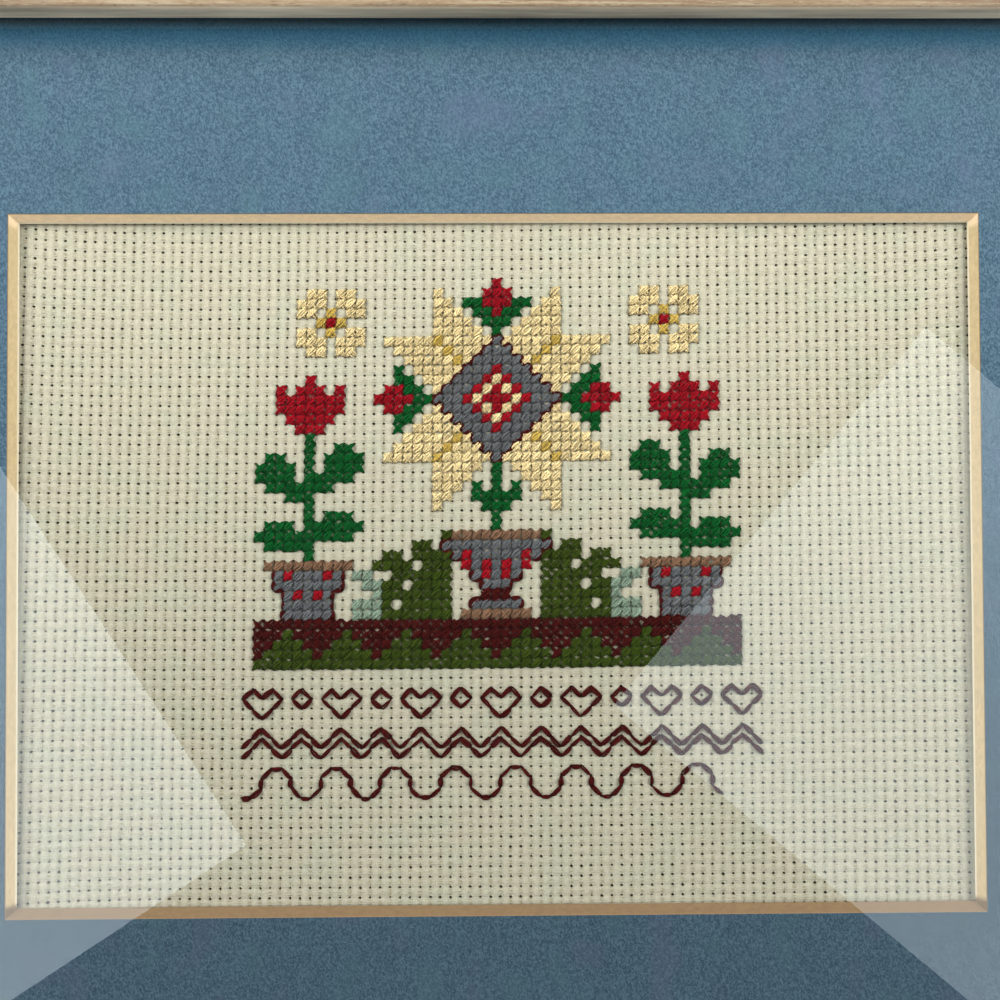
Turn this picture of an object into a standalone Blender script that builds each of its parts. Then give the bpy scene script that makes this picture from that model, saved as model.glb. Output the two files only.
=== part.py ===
"""Framed cross stitch picture: a mitred wood frame round glass, a window mat, block-weave cloth and a backing board.

Units are metres, with +Z up. The picture hangs upright on a wall at Y = 0: +X runs along its width, and its front looks
towards -Y. The origin is the middle of the top rail's back face, where the wall carries the picture.
"""

import math
from collections import namedtuple

import bmesh
import bpy

# Driving sizes
INCH = 0.0254
GAP = 0.0003
PANEL_WIDTH = 10 * INCH
PANEL_HEIGHT = 8 * INCH
WINDOW_WIDTH = 7 * INCH
WINDOW_HEIGHT = 5 * INCH

# Frame rails: a flat front, a thin lip over the glass, and a rabbet behind the lip
RAIL_WIDTH = 0.022
RAIL_DEPTH = 0.015
LIP_WIDTH = INCH * 3 / 16
LIP_THICKNESS = 0.003
RABBET_ALLOWANCE = INCH / 8
SIGHT_EDGE_RADIUS = 0.0008
OUTER_EDGE_RADIUS = 0.0025
BACK_EDGE_RADIUS = 0.0006
ARC_STEPS = 5

# What the rabbet holds, from front to back
GLASS_THICKNESS = 0.002
MAT_THICKNESS = 0.0014
CLOTH_THICKNESS = 0.001
BOARD_THICKNESS = 0.003

# The cloth is cut a little smaller than the mat, and lies unevenly behind the window
CLOTH_WIDTH = PANEL_WIDTH - 0.006
CLOTH_HEIGHT = PANEL_HEIGHT - 0.006
CLOTH_PLAY = 0.0006
CLOTH_PILLOW = 0.0004
CLOTH_COLUMNS = 36
CLOTH_ROWS = 28
TOP_TO_BOTTOM_SHARE = 0.28

# Slow waves left in the cloth: waves across the width and the height, share of the play, and phase in turns
Wave = namedtuple("Wave", "across_width across_height share phase")
CLOTH_WAVES = (
    Wave(across_width=1.6, across_height=0.4, share=0.09, phase=0.10),
    Wave(across_width=0.7, across_height=2.1, share=0.07, phase=0.35),
    Wave(across_width=3.1, across_height=1.3, share=0.05, phase=0.60),
)

# Places worked out from the sizes
SIGHT_WIDTH = PANEL_WIDTH + RABBET_ALLOWANCE - 2 * LIP_WIDTH
SIGHT_HEIGHT = PANEL_HEIGHT + RABBET_ALLOWANCE - 2 * LIP_WIDTH
FRAME_CENTRE_Z = -(SIGHT_HEIGHT + RAIL_WIDTH) / 2
PANEL_CENTRE_Z = FRAME_CENTRE_Z - RABBET_ALLOWANCE / 2 + GAP
GLASS_FRONT_Y = -RAIL_DEPTH + LIP_THICKNESS + GAP
MAT_FRONT_Y = GLASS_FRONT_Y + GLASS_THICKNESS + GAP
CLOTH_FRONT_Y = MAT_FRONT_Y + MAT_THICKNESS + GAP
BOARD_FRONT_Y = CLOTH_FRONT_Y + CLOTH_PLAY + CLOTH_THICKNESS + GAP

# Each side of the frame: name, turn about Y in degrees, and which sight size runs along it and across it
Side = namedtuple("Side", "name turn along across")
SIDES = (
    Side("rail_top", 0, SIGHT_WIDTH, SIGHT_HEIGHT),
    Side("rail_right", 90, SIGHT_HEIGHT, SIGHT_WIDTH),
    Side("rail_bottom", 180, SIGHT_WIDTH, SIGHT_HEIGHT),
    Side("rail_left", -90, SIGHT_HEIGHT, SIGHT_WIDTH),
)

# Finishes: colour, roughness and metallic value
Finish = namedtuple("Finish", "colour roughness metallic")
PICKLED_WOOD = Finish((0.45, 0.33, 0.24, 1.0), 0.6, 0.0)
CLEAR_GLASS = Finish((0.85, 0.92, 0.90, 1.0), 0.05, 0.0)
BLUE_MAT = Finish((0.11, 0.20, 0.28, 1.0), 0.9, 0.0)
CREAM_CLOTH = Finish((0.66, 0.62, 0.46, 1.0), 0.85, 0.0)
BROWN_BOARD = Finish((0.30, 0.20, 0.12, 1.0), 0.85, 0.0)


def clear_scene():
    """Remove every object that the file opened with."""
    for old in list(bpy.data.objects):
        bpy.data.objects.remove(old, do_unlink=True)


def finish_material(name, finish):
    """Principled material with the finish's colour, roughness and metallic value."""
    material = bpy.data.materials.new(name)
    material.use_nodes = True
    shader = material.node_tree.nodes["Principled BSDF"]
    shader.inputs["Base Color"].default_value = finish.colour
    shader.inputs["Roughness"].default_value = finish.roughness
    shader.inputs["Metallic"].default_value = finish.metallic
    material.diffuse_color = finish.colour
    return material


def mesh_from(bm, name, material):
    """Mesh data from a bmesh, with its faces turned outwards and flat faces kept crisp."""
    bmesh.ops.recalc_face_normals(bm, faces=bm.faces)
    mesh = bpy.data.meshes.new(name)
    bm.to_mesh(mesh)
    bm.free()
    mesh.materials.append(material)
    mesh.shade_smooth()
    mesh.set_sharp_from_angle(angle=math.radians(30))
    return mesh


def place(name, mesh, parent, location=(0.0, 0.0, 0.0), turn=0.0):
    """Object of the mesh under its parent, at the location and turned about Y."""
    obj = bpy.data.objects.new(name, mesh)
    bpy.context.collection.objects.link(obj)
    obj.parent = parent
    obj.location = location
    obj.rotation_euler = (0.0, math.radians(turn), 0.0)
    return obj


def arc(centre, radius, start, end):
    """Points of an arc from the start angle to the end angle, in degrees."""
    points = []
    for step in range(ARC_STEPS + 1):
        angle = math.radians(start + (end - start) * step / ARC_STEPS)
        points.append((centre[0] + radius * math.cos(angle), centre[1] + radius * math.sin(angle)))
    return points


def rail_profile():
    """Section of a rail as points (distance out from the sight edge, Y), going round it once."""
    front = -RAIL_DEPTH
    lip_back = front + LIP_THICKNESS
    outer = RAIL_WIDTH
    sight = arc((SIGHT_EDGE_RADIUS, front + SIGHT_EDGE_RADIUS), SIGHT_EDGE_RADIUS, 180, 270)
    shoulder = arc((outer - OUTER_EDGE_RADIUS, front + OUTER_EDGE_RADIUS), OUTER_EDGE_RADIUS, 270, 360)
    heel = arc((outer - BACK_EDGE_RADIUS, -BACK_EDGE_RADIUS), BACK_EDGE_RADIUS, 0, 90)
    return [(0.0, lip_back)] + sight + shoulder + heel + [(LIP_WIDTH, 0.0), (LIP_WIDTH, lip_back)]


def rail_mesh(name, along, across, material):
    """Rail along X with its sight edge across/2 above the frame's centre and both ends mitred at 45 degrees."""
    bm = bmesh.new()
    mitre_inset = GAP * math.sqrt(0.5)
    left_loop = []
    right_loop = []
    for outwards, depth in rail_profile():
        reach = along / 2 + outwards - mitre_inset
        height = across / 2 + outwards
        left_loop.append(bm.verts.new((-reach, depth, height)))
        right_loop.append(bm.verts.new((reach, depth, height)))
    count = len(left_loop)
    for i in range(count):
        following = (i + 1) % count
        bm.faces.new((left_loop[i], left_loop[following], right_loop[following], right_loop[i]))
    bm.faces.new(left_loop)
    bm.faces.new(right_loop)
    return mesh_from(bm, name, material)


def slab_mesh(name, width, height, front, thickness, material):
    """Flat rectangular panel, centred on X and Z, from the front's Y backwards."""
    bm = bmesh.new()
    bmesh.ops.create_cube(bm, size=1.0)
    for vert in bm.verts:
        vert.co.x *= width
        vert.co.z *= height
        vert.co.y = front + (vert.co.y + 0.5) * thickness
    return mesh_from(bm, name, material)


def rectangle_loop(bm, width, height, depth):
    """Four new corners of a rectangle at one depth, in order."""
    corners = ((-1, -1), (1, -1), (1, 1), (-1, 1))
    return [bm.verts.new((sx * width / 2, depth, sz * height / 2)) for sx, sz in corners]


def mat_mesh(name, material):
    """Mat with one window whose edge is bevelled at 45 degrees, wider at the front."""
    bm = bmesh.new()
    back_y = MAT_FRONT_Y + MAT_THICKNESS
    opened = 2 * MAT_THICKNESS
    loops = (
        rectangle_loop(bm, PANEL_WIDTH, PANEL_HEIGHT, MAT_FRONT_Y),
        rectangle_loop(bm, WINDOW_WIDTH + opened, WINDOW_HEIGHT + opened, MAT_FRONT_Y),
        rectangle_loop(bm, WINDOW_WIDTH, WINDOW_HEIGHT, back_y),
        rectangle_loop(bm, PANEL_WIDTH, PANEL_HEIGHT, back_y),
    )
    for i, loop in enumerate(loops):
        other = loops[(i + 1) % len(loops)]
        for j in range(4):
            k = (j + 1) % 4
            bm.faces.new((loop[j], loop[k], other[k], other[j]))
    return mesh_from(bm, name, material)


def cloth_rise(x, z):
    """How far the cloth stands forward of its lowest place, at a point measured from the window's middle."""
    across = x / CLOTH_WIDTH
    up = z / CLOTH_HEIGHT
    share = 0.5 + 2 * TOP_TO_BOTTOM_SHARE * up
    for wave in CLOTH_WAVES:
        turns = wave.across_width * across + wave.across_height * up + wave.phase
        share += wave.share * math.sin(math.tau * turns)
    inside_width = max(0.0, 1 - (2 * x / WINDOW_WIDTH) ** 2)
    inside_height = max(0.0, 1 - (2 * z / WINDOW_HEIGHT) ** 2)
    pillow = CLOTH_PILLOW * (inside_width * inside_height) ** 2
    return CLOTH_PLAY * share + pillow


def cloth_mesh(name, material):
    """Sheet of cloth of even thickness that follows cloth_rise, closed round its cut edge."""
    bm = bmesh.new()
    faces = []
    for thickness in (0.0, CLOTH_THICKNESS):
        grid = []
        for row in range(CLOTH_ROWS + 1):
            z = CLOTH_HEIGHT * (row / CLOTH_ROWS - 0.5)
            line = []
            for column in range(CLOTH_COLUMNS + 1):
                x = CLOTH_WIDTH * (column / CLOTH_COLUMNS - 0.5)
                y = CLOTH_FRONT_Y + CLOTH_PLAY - cloth_rise(x, z) + thickness
                line.append(bm.verts.new((x, y, z)))
            grid.append(line)
        faces.append(grid)
    front, back = faces
    for row in range(CLOTH_ROWS):
        for column in range(CLOTH_COLUMNS):
            for grid in faces:
                bm.faces.new(
                    (grid[row][column], grid[row][column + 1], grid[row + 1][column + 1], grid[row + 1][column])
                )
    rims = []
    for grid in (front, back):
        right = [line[-1] for line in grid]
        left = [line[0] for line in reversed(grid)]
        rims.append(grid[0][:-1] + right[:-1] + grid[-1][:0:-1] + left[:-1])
    count = len(rims[0])
    for i in range(count):
        following = (i + 1) % count
        bm.faces.new((rims[0][i], rims[0][following], rims[1][following], rims[1][i]))
    return mesh_from(bm, name, material)


def build_frame(centre):
    """Four mitred rails, each turned about the frame's centre."""
    wood = finish_material("pickled_wood", PICKLED_WOOD)
    for side in SIDES:
        mesh = rail_mesh(side.name, side.along, side.across, wood)
        place(side.name, mesh, centre, turn=side.turn)


def build_panels(centre):
    """Glass, mat, cloth and backing board, all resting on the bottom rail's rabbet."""
    glass = finish_material("picture_glass", CLEAR_GLASS)
    board = finish_material("backing_board", BROWN_BOARD)
    seat = (0.0, 0.0, PANEL_CENTRE_Z - FRAME_CENTRE_Z)
    panels = (
        slab_mesh("glass_pane", PANEL_WIDTH, PANEL_HEIGHT, GLASS_FRONT_Y, GLASS_THICKNESS, glass),
        mat_mesh("mat_board", finish_material("mat_board", BLUE_MAT)),
        cloth_mesh("stitched_cloth", finish_material("stitched_cloth", CREAM_CLOTH)),
        slab_mesh("backing_board", PANEL_WIDTH, PANEL_HEIGHT, BOARD_FRONT_Y, BOARD_THICKNESS, board),
    )
    for mesh in panels:
        place(mesh.name, mesh, centre, location=seat)


def main():
    clear_scene()
    centre = bpy.data.objects.new("frame_centre", None)
    bpy.context.collection.objects.link(centre)
    centre.location = (0.0, 0.0, FRAME_CENTRE_Z)
    build_frame(centre)
    build_panels(centre)


main()
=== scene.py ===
"""Looks of a framed cross stitch picture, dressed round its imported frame.

Everything is in metres and in the frame's own place: +X runs along the picture, +Z is up, and the
front looks towards -Y. The wood rails, glass, mat and backing board keep their solids and get their
finishes. The cloth is made again with a hole between every four of its squares, and the stitches are
sewn on top of it, strand by strand.
"""

from __future__ import annotations

import logging
import math
import random
from dataclasses import dataclass, field
from enum import Enum

import bpy
from mathutils import Matrix, Vector


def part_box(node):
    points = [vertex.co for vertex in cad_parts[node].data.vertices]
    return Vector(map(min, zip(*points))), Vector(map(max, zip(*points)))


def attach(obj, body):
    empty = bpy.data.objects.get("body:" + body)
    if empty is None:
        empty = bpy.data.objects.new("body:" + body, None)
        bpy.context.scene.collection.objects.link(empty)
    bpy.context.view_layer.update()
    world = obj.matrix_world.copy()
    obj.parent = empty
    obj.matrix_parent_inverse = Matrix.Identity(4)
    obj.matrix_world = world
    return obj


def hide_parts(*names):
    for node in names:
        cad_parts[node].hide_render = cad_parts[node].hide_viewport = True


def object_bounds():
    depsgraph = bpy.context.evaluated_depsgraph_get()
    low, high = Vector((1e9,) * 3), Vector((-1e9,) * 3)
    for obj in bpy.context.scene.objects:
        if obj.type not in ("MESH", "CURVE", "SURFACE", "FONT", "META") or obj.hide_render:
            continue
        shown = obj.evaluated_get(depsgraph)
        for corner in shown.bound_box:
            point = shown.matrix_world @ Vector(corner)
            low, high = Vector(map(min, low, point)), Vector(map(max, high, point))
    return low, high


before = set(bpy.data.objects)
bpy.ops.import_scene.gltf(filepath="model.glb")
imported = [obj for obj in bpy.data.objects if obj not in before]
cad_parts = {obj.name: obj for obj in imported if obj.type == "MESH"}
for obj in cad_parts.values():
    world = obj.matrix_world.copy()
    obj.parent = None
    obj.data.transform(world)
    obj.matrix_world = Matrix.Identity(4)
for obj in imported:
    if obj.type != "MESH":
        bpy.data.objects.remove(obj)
CAD_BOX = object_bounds()

MM = 0.001
INCH = 0.0254
GAP = 0.3 * MM
LEG_LENGTH = 2.6 * MM
BODY = "root"
LOG = logging.getLogger("framed_cross_stitch")

Colour = tuple[float, float, float, float]
Point = tuple[float, float, float]
Place = tuple[float, float]
Square = tuple[int, int]


def chip(red: int, green: int, blue: int) -> Colour:
    """Colour of a paint chip.

    Args:
        red, green, blue: the chip's shades, from 0 to 255 as a screen shows them.

    Returns:
        The linear colour that shaders use, with full alpha.
    """
    linear = []
    for shade in (red, green, blue):
        share = shade / 255
        linear.append(share / 12.92 if share <= 0.04045 else ((share + 0.055) / 1.055) ** 2.4)
    return (linear[0], linear[1], linear[2], 1.0)


class Value:
    """A socket that takes part in sums written as plain Python."""

    def __init__(self, graph: Graph, socket: bpy.types.NodeSocket) -> None:
        """Wrap one output socket of a graph."""
        self.graph = graph
        self.socket = socket

    def __add__(self, other: Value | float) -> Value:
        """Sum of the two."""
        return self.graph.math("ADD", self, other)

    __radd__ = __add__

    def __sub__(self, other: Value | float) -> Value:
        """This less the other."""
        return self.graph.math("SUBTRACT", self, other)

    def __rsub__(self, other: Value | float) -> Value:
        """The other less this."""
        return self.graph.math("SUBTRACT", other, self)

    def __mul__(self, other: Value | float) -> Value:
        """Product of the two."""
        return self.graph.math("MULTIPLY", self, other)

    __rmul__ = __mul__

    def __pow__(self, power: Value | float) -> Value:
        """This raised to a power."""
        return self.graph.math("POWER", self, power)

    def sine(self) -> Value:
        """Sine of an angle in radians."""
        return self.graph.math("SINE", self)

    def size(self) -> Value:
        """The value without its sign."""
        return self.graph.math("ABSOLUTE", self)

    def floor(self) -> Value:
        """The whole number at or below it."""
        return self.graph.math("FLOOR", self)

    def root(self) -> Value:
        """Square root."""
        return self.graph.math("SQRT", self)

    def ramp(self, low: float | Value, high: float | Value) -> Value:
        """Soft step.

        Args:
            low: where the step is still 0.
            high: where it has reached 1.

        Returns:
            A value from 0 to 1.
        """
        settings = {"interpolation_type": "SMOOTHSTEP"}
        sockets = {"Value": self, "From Min": low, "From Max": high}
        return self.graph.value("ShaderNodeMapRange", settings, sockets)


class Graph:
    """Adds nodes to one tree, of a material, the world or Geometry Nodes."""

    def __init__(self, tree: bpy.types.NodeTree) -> None:
        """Keep the tree that the nodes go to."""
        self.tree = tree

    def add(
        self, kind: str, settings: dict | None = None, sockets: dict | None = None
    ) -> bpy.types.Node:
        """Add a node, with its settings made before its sockets.

        Args:
            kind: the node's type.
            settings: properties by name.
            sockets: values or links by socket name or number.

        Returns:
            The new node.
        """
        node = self.tree.nodes.new(kind)
        for name, setting in (settings or {}).items():
            setattr(node, name, setting)
        for key, value in (sockets or {}).items():
            self.feed(node.inputs[key], value)
        return node

    def feed(self, socket: bpy.types.NodeSocket, value: object) -> None:
        """Link a value or socket to a socket, or set it to a constant.

        Args:
            socket: the input to feed.
            value: a wrapped value, a bare output socket, or a constant that fits the input.
        """
        if isinstance(value, Value):
            self.tree.links.new(value.socket, socket)
        elif isinstance(value, bpy.types.NodeSocket):
            self.tree.links.new(value, socket)
        elif socket.type == "VECTOR":
            socket.default_value = value[:3]
        else:
            socket.default_value = value

    def value(
        self,
        kind: str,
        settings: dict | None = None,
        sockets: dict | None = None,
        output: str | int = 0,
    ) -> Value:
        """Add a node and wrap one of its outputs.

        Args:
            kind, settings, sockets: as for add.
            output: the output's name or number.

        Returns:
            The wrapped output.
        """
        return Value(self, self.add(kind, settings, sockets).outputs[output])

    def math(self, operation: str, *operands: Value | float) -> Value:
        """Math node of an operation on up to three operands."""
        return self.value("ShaderNodeMath", {"operation": operation}, dict(enumerate(operands)))

    def vector(self, x: Value | float, y: Value | float, z: Value | float) -> Value:
        """Vector of three values."""
        return self.value("ShaderNodeCombineXYZ", None, {"X": x, "Y": y, "Z": z})

    def parts(self, vector: Value) -> tuple[Value, Value, Value]:
        """The three values of a vector."""
        node = self.add("ShaderNodeSeparateXYZ", None, {0: vector})
        return Value(self, node.outputs[0]), Value(self, node.outputs[1]), Value(self, node.outputs[2])

    def blend(self, factor: Value | float, first: Value | Colour, second: Value | Colour) -> Value:
        """Colour between two.

        Args:
            factor: 0 gives the first colour and 1 the second.
            first, second: the two colours.

        Returns:
            The mixed colour.
        """
        node = self.add("ShaderNodeMix", {"data_type": "RGBA"}, {"Factor": factor, 6: first, 7: second})
        return Value(self, node.outputs[2])

    def shade(self, colour: Value | Colour, amount: Value) -> Value:
        """Colour made lighter or darker by a factor."""
        node = self.add("ShaderNodeVectorMath", {"operation": "SCALE"}, {0: colour, "Scale": amount})
        return Value(self, node.outputs[0])

    def noise(self, place: Value, detail: float = 2.0, roughness: float = 0.5) -> Value:
        """Cloudy noise from 0 to 1, one unit of the place to a cloud."""
        sockets = {"Vector": place, "Scale": 1.0, "Detail": detail, "Roughness": roughness}
        return self.value("ShaderNodeTexNoise", None, sockets)

    def chance(self, place: Value) -> tuple[Value, Value, Value]:
        """Three random values from 0 to 1 for each place."""
        node = self.add("ShaderNodeTexWhiteNoise", {"noise_dimensions": "3D"}, {"Vector": place})
        return self.parts(Value(self, node.outputs["Color"]))


class Surface(Graph):
    """A material's graph, with its Principled shader at hand."""

    def __init__(self, name: str, roughness: float, **sockets: float) -> None:
        """Start a material.

        Args:
            name: the material's name.
            roughness: its roughness, where nothing else is linked.
            sockets: constants for other shader sockets, with _ for each space of a name.
        """
        self.material = bpy.data.materials.new(name)
        self.material.use_nodes = True
        super().__init__(self.material.node_tree)
        self.shader = self.tree.nodes["Principled BSDF"]
        self.shader.inputs["Roughness"].default_value = roughness
        for key, value in sockets.items():
            self.shader.inputs[key.replace("_", " ")].default_value = value

    def place(self) -> tuple[Value, Value, Value]:
        """X, Y and Z of the point on its object, in metres."""
        return self.parts(self.value("ShaderNodeTexCoord", None, None, "Object"))

    def colour(self, colour: Value) -> None:
        """Give the surface its colour."""
        self.feed(self.shader.inputs["Base Color"], colour)

    def roughness(self, roughness: Value) -> None:
        """Give the surface a roughness that changes over it."""
        self.feed(self.shader.inputs["Roughness"], roughness)

    def relief(self, height: Value, depth: float, strength: float = 1.0) -> None:
        """Raise the surface's light and shade.

        Args:
            height: relief from 0 to 1.
            depth: how deep a height of 1 is, in metres.
            strength: share of the relief that shows.
        """
        sockets = {"Height": height, "Distance": depth, "Strength": strength}
        self.feed(self.shader.inputs["Normal"], self.value("ShaderNodeBump", None, sockets))


class Grain(Enum):
    """Axis that the wood's grain runs along."""

    ALONG_X = "x"
    ALONG_Z = "z"


@dataclass(frozen=True)
class PickledWood:
    """Open-grained wood with a pale wash rubbed into it, left raw on the back."""

    wood: Colour = chip(164, 141, 112)
    brown: Colour = chip(122, 95, 68)
    wash: Colour = chip(199, 185, 159)
    grey: Colour = chip(146, 137, 121)
    # pale wash of the lips' inner walls: a real wash, made paler still as painted light on these shaded
    # faces
    sight_wash: Colour = chip(216, 202, 178)
    raw: Colour = chip(200, 168, 128)
    back_depth: float = 0.8 * MM
    sight_reach: float = 0.3 * MM

    def material(self, grain: Grain, sights: tuple[float, float]) -> bpy.types.Material:
        """Material of the rails whose grain runs along one axis.

        Args:
            grain: the axis.
            sights: where the inner faces of the two lips lie, across the grain.

        Returns:
            The material.
        """
        s = Surface(f"pickled_wood_{grain.value}", 0.55, Specular_IOR_Level=0.4)
        x, y, z = s.place()
        along, across = (x, z) if grain is Grain.ALONG_X else (z, x)
        given_across = across
        wander = s.noise(s.vector(along * 9, across * 60, y * 60), 2.0) - 0.5
        across = across + wander * (1.6 * MM)
        bands = s.noise(s.vector(along * 10, across * 330, y * 330), 3.0, 0.6)
        streaks = s.noise(s.vector(along * 70, across * 1500, y * 1500), 3.0, 0.6)
        pores = s.noise(s.vector(along * 700, across * 4300, y * 4300), 2.0, 0.5)
        patches = s.noise(s.vector(along * 35, across * 160, y * 160), 2.0, 0.5)

        colour = s.blend(bands.ramp(0.34, 0.64), self.brown, self.wood)
        colour = s.blend(streaks.ramp(0.50, 0.66) * 0.55, colour, self.wash)
        colour = s.blend(patches.ramp(0.58, 0.74) * 0.35, colour, self.wash)
        colour = s.blend((1 - streaks.ramp(0.32, 0.44)) * 0.55, colour, self.grey)
        colour = s.blend(pores.ramp(0.58, 0.70) * 0.50, colour, self.wash)
        colour = s.blend((1 - pores.ramp(0.31, 0.42)) * 0.70, colour, self.brown)
        for sight in sights:
            # each lip's inner wall takes the pale wash, partly real wash and partly painted light
            lip_wall = 1 - (given_across - sight).size().ramp(self.sight_reach / 2, self.sight_reach)
            washed = s.shade(self.sight_wash, 1.8 * bands + 0.9 * streaks + 0.9 * patches - 0.8)
            colour = s.blend(lip_wall * 0.8, colour, washed)
        raw = s.shade(self.raw, 0.70 + 0.30 * bands + 0.24 * streaks)
        raw = s.blend((1 - pores.ramp(0.30, 0.42)) * 0.35, raw, self.brown)
        colour = s.blend(y.ramp(-self.back_depth, -self.back_depth / 2), colour, raw)
        s.colour(colour)
        s.roughness(0.42 + 0.3 * streaks)
        s.relief(pores * 0.5 + streaks * 0.7, 0.12 * MM, 0.7)
        return s.material


@dataclass(frozen=True)
class PictureGlass:
    """Clear polished glass: a faint mirror, and otherwise see-through.

    Only the faces that are seen from outside mirror.
    """

    index: float = 1.55
    roughness: float = 0.006

    def material(self) -> bpy.types.Material:
        """Material of the pane.

        Returns:
            The material.
        """
        s = Surface("picture_glass", 0.0)
        clear = s.value("ShaderNodeBsdfTransparent", None, {"Color": (0.985, 0.995, 0.99, 1.0)})
        mirror = s.value("ShaderNodeBsdfGlossy", None, {"Roughness": self.roughness})
        edge_on = s.value("ShaderNodeFresnel", None, {"IOR": self.index})
        outside = 1 - s.value("ShaderNodeNewGeometry", None, None, "Backfacing")
        pane = s.value("ShaderNodeMixShader", None, {0: edge_on * outside, 1: clear, 2: mirror})
        s.tree.nodes.remove(s.shader)
        s.feed(s.tree.nodes["Material Output"].inputs["Surface"], pane)
        return s.material


@dataclass(frozen=True)
class MottledMat:
    """Mat board with a felted blue facing paper, a tan core at the bevel and a plain back."""

    front_y: float
    thickness: float
    window_low: float
    window_high: float
    facing: Colour = chip(94, 126, 148)
    deep: Colour = chip(50, 80, 106)
    pale: Colour = chip(108, 140, 161)
    violet: Colour = chip(104, 118, 150)
    green: Colour = chip(90, 130, 140)
    # painted shade: colour of the cool shadow on the facing just under the top lip
    kept_blue: Colour = chip(58, 124, 158)
    core: Colour = chip(218, 194, 152)
    # painted light and shade: a lit copy of the core for the top bevel and a shaded copy for the bottom one
    sheltered: Colour = chip(255, 227, 190)
    dusty: Colour = chip(134, 110, 82)
    burnt: Colour = chip(150, 122, 88)
    lit: Colour = chip(240, 228, 204)
    facing_depth: float = 0.05 * MM
    line: float = 0.12 * MM
    bevel_reach: float = 1.6 * MM
    lip_reach: float = 5.5 * MM
    lip_top: float = -11.0 * MM
    # share of painted shade at the bottom of the facing, standing in for light falling off downwards
    fading: float = 0.42

    def material(self) -> bpy.types.Material:
        """Material of the mat.

        Returns:
            The material.
        """
        s = Surface("mat_board", 0.88, Specular_IOR_Level=0.25)
        x, y, z = s.place()
        slant = x + 0.25 * z
        fibres = s.noise(s.vector(slant * 3500, z * 2300, y * 900), 2.0, 0.65)
        flecks = s.noise(s.vector((x - 0.35 * z) * 3900, z * 2300, y * 900), 1.0, 0.5)
        clouds = s.noise(s.vector(x * 90, y * 90, z * 70), 1.0, 0.6)
        tint = s.noise(s.vector(x * 120 + 7, y * 120, z * 90), 1.0, 0.5)

        blue = s.blend(fibres.ramp(0.36, 0.66), self.deep, self.pale)
        blue = s.blend(0.26, blue, self.facing)
        blue = s.blend(flecks.ramp(0.60, 0.72) * 0.80, blue, self.deep)
        blue = s.blend((1 - flecks.ramp(0.24, 0.36)) * 0.30, blue, self.pale)
        blue = s.blend(tint.ramp(0.55, 0.72) * 0.30, blue, self.violet)
        blue = s.blend((1 - tint.ramp(0.30, 0.45)) * 0.30, blue, self.green)
        # painted shade: under the top lip the facing turns to the blue of the lip's shadow
        shaded = z.ramp(self.lip_top - self.lip_reach, self.lip_top - 0.2 * self.lip_reach)
        blue = s.blend(shaded * 0.75, blue, s.shade(self.kept_blue, 1.2 * fibres + 0.8 * flecks))
        # painted shade: the facing darkens from above the window to below it, as if less light reached the
        # bottom
        kept = z.ramp(self.window_low - self.bevel_reach, self.window_high + self.bevel_reach)
        blue = s.shade(blue, (0.88 + 0.12 * clouds) * (1 - self.fading + self.fading * kept))

        pulp = s.noise(s.vector(x * 900, y * 2600, z * 900), 2.0, 0.6)
        above = z.ramp(self.window_high - self.bevel_reach, self.window_high)
        below = 1 - z.ramp(self.window_low, self.window_low + self.bevel_reach)
        # painted light on the top bevel and painted shade on the bottom bevel
        core = s.blend(above, self.core, self.sheltered)
        core = s.blend(below, core, self.dusty)
        core = s.shade(core, 0.78 + 0.44 * pulp)
        inside = y - self.front_y
        core = s.blend(1 - inside.ramp(self.facing_depth, self.line * 1.6), core, self.burnt)
        # painted highlight along the bevel's inner edge, except on the bottom bevel
        rim = inside.ramp(self.thickness - 2.2 * self.line, self.thickness - self.line)
        core = s.blend(rim * (1 - below), core, self.lit)
        s.colour(s.blend(inside.ramp(self.facing_depth * 0.5, self.facing_depth), blue, core))
        s.relief(fibres * 0.6 + flecks * 0.4, 0.04 * MM, 0.5)
        return s.material


@dataclass(frozen=True)
class FibreBoard:
    """Brown pressed fibre board with short loose fibres."""

    board: Colour = chip(132, 98, 66)
    dark: Colour = chip(96, 68, 44)
    fibre: Colour = chip(176, 142, 102)

    def material(self) -> bpy.types.Material:
        """Material of the backing board.

        Returns:
            The material.
        """
        s = Surface("backing_board", 0.8, Specular_IOR_Level=0.3)
        x, y, z = s.place()
        clouds = s.noise(s.vector(x * 25, y * 25, z * 25), 4.0, 0.7)
        fibres = s.noise(s.vector((x + z) * 2600, y * 900, (x - z) * 500), 2.0, 0.6)
        strays = s.noise(s.vector((x - 0.4 * z) * 500, y * 900, (z + 0.4 * x) * 2600), 2.0, 0.6)
        colour = s.blend(clouds.ramp(0.2, 0.8) * 0.4 + 0.6, self.dark, self.board)
        colour = s.blend(fibres.ramp(0.56, 0.70) * 0.55, colour, self.fibre)
        colour = s.blend(strays.ramp(0.58, 0.70) * 0.45, colour, self.fibre)
        colour = s.blend((1 - strays.ramp(0.28, 0.40)) * 0.45, colour, self.dark)
        s.colour(colour)
        s.relief(fibres * 0.5 + strays * 0.5, 0.1 * MM, 0.7)
        return s.material


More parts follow.
